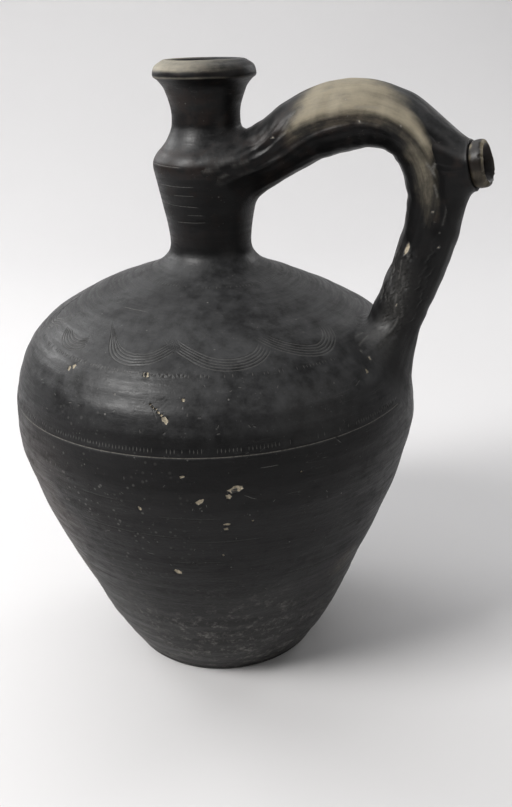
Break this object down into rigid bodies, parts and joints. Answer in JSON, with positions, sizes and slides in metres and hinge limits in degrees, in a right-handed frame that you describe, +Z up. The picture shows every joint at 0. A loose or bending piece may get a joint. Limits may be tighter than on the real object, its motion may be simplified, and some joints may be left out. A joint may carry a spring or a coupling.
{
  "type": "water jug",
  "caption": "Smoke-fired black burnished clay water jug with a hollow loop handle and a small drinking spout on the handle's outer bend.",
  "frame": {"origin": "centre of the flat underside, on the surface that the jug stands on", "axes": "+Z up along the jug's axis of revolution; the handle lies in the XZ plane, towards +X, and the spout turns a few degrees from it towards -Y"},
  "size_m": [0.2478, 0.2158, 0.32],
  "materials": {
    "burnished_black_clay": "satin",
    "rubbed_handle_clay": "satin",
    "worn_rim_clay": "matte",
    "worn_spout_clay": "matte"
  },
  "bodies": {
    "root": {"floor_pad": "burnished_black_clay", "belly_lower": "burnished_black_clay", "belly_upper": "burnished_black_clay", "neck_lower": "burnished_black_clay", "neck_upper": "burnished_black_clay", "mouth_rim": "worn_rim_clay", "handle_tube": "rubbed_handle_clay", "handle_wad_upper": "burnished_black_clay", "handle_wad_lower": "burnished_black_clay", "spout_base": "rubbed_handle_clay", "spout_ring": "worn_spout_clay"}
  },
  "joints": []
}
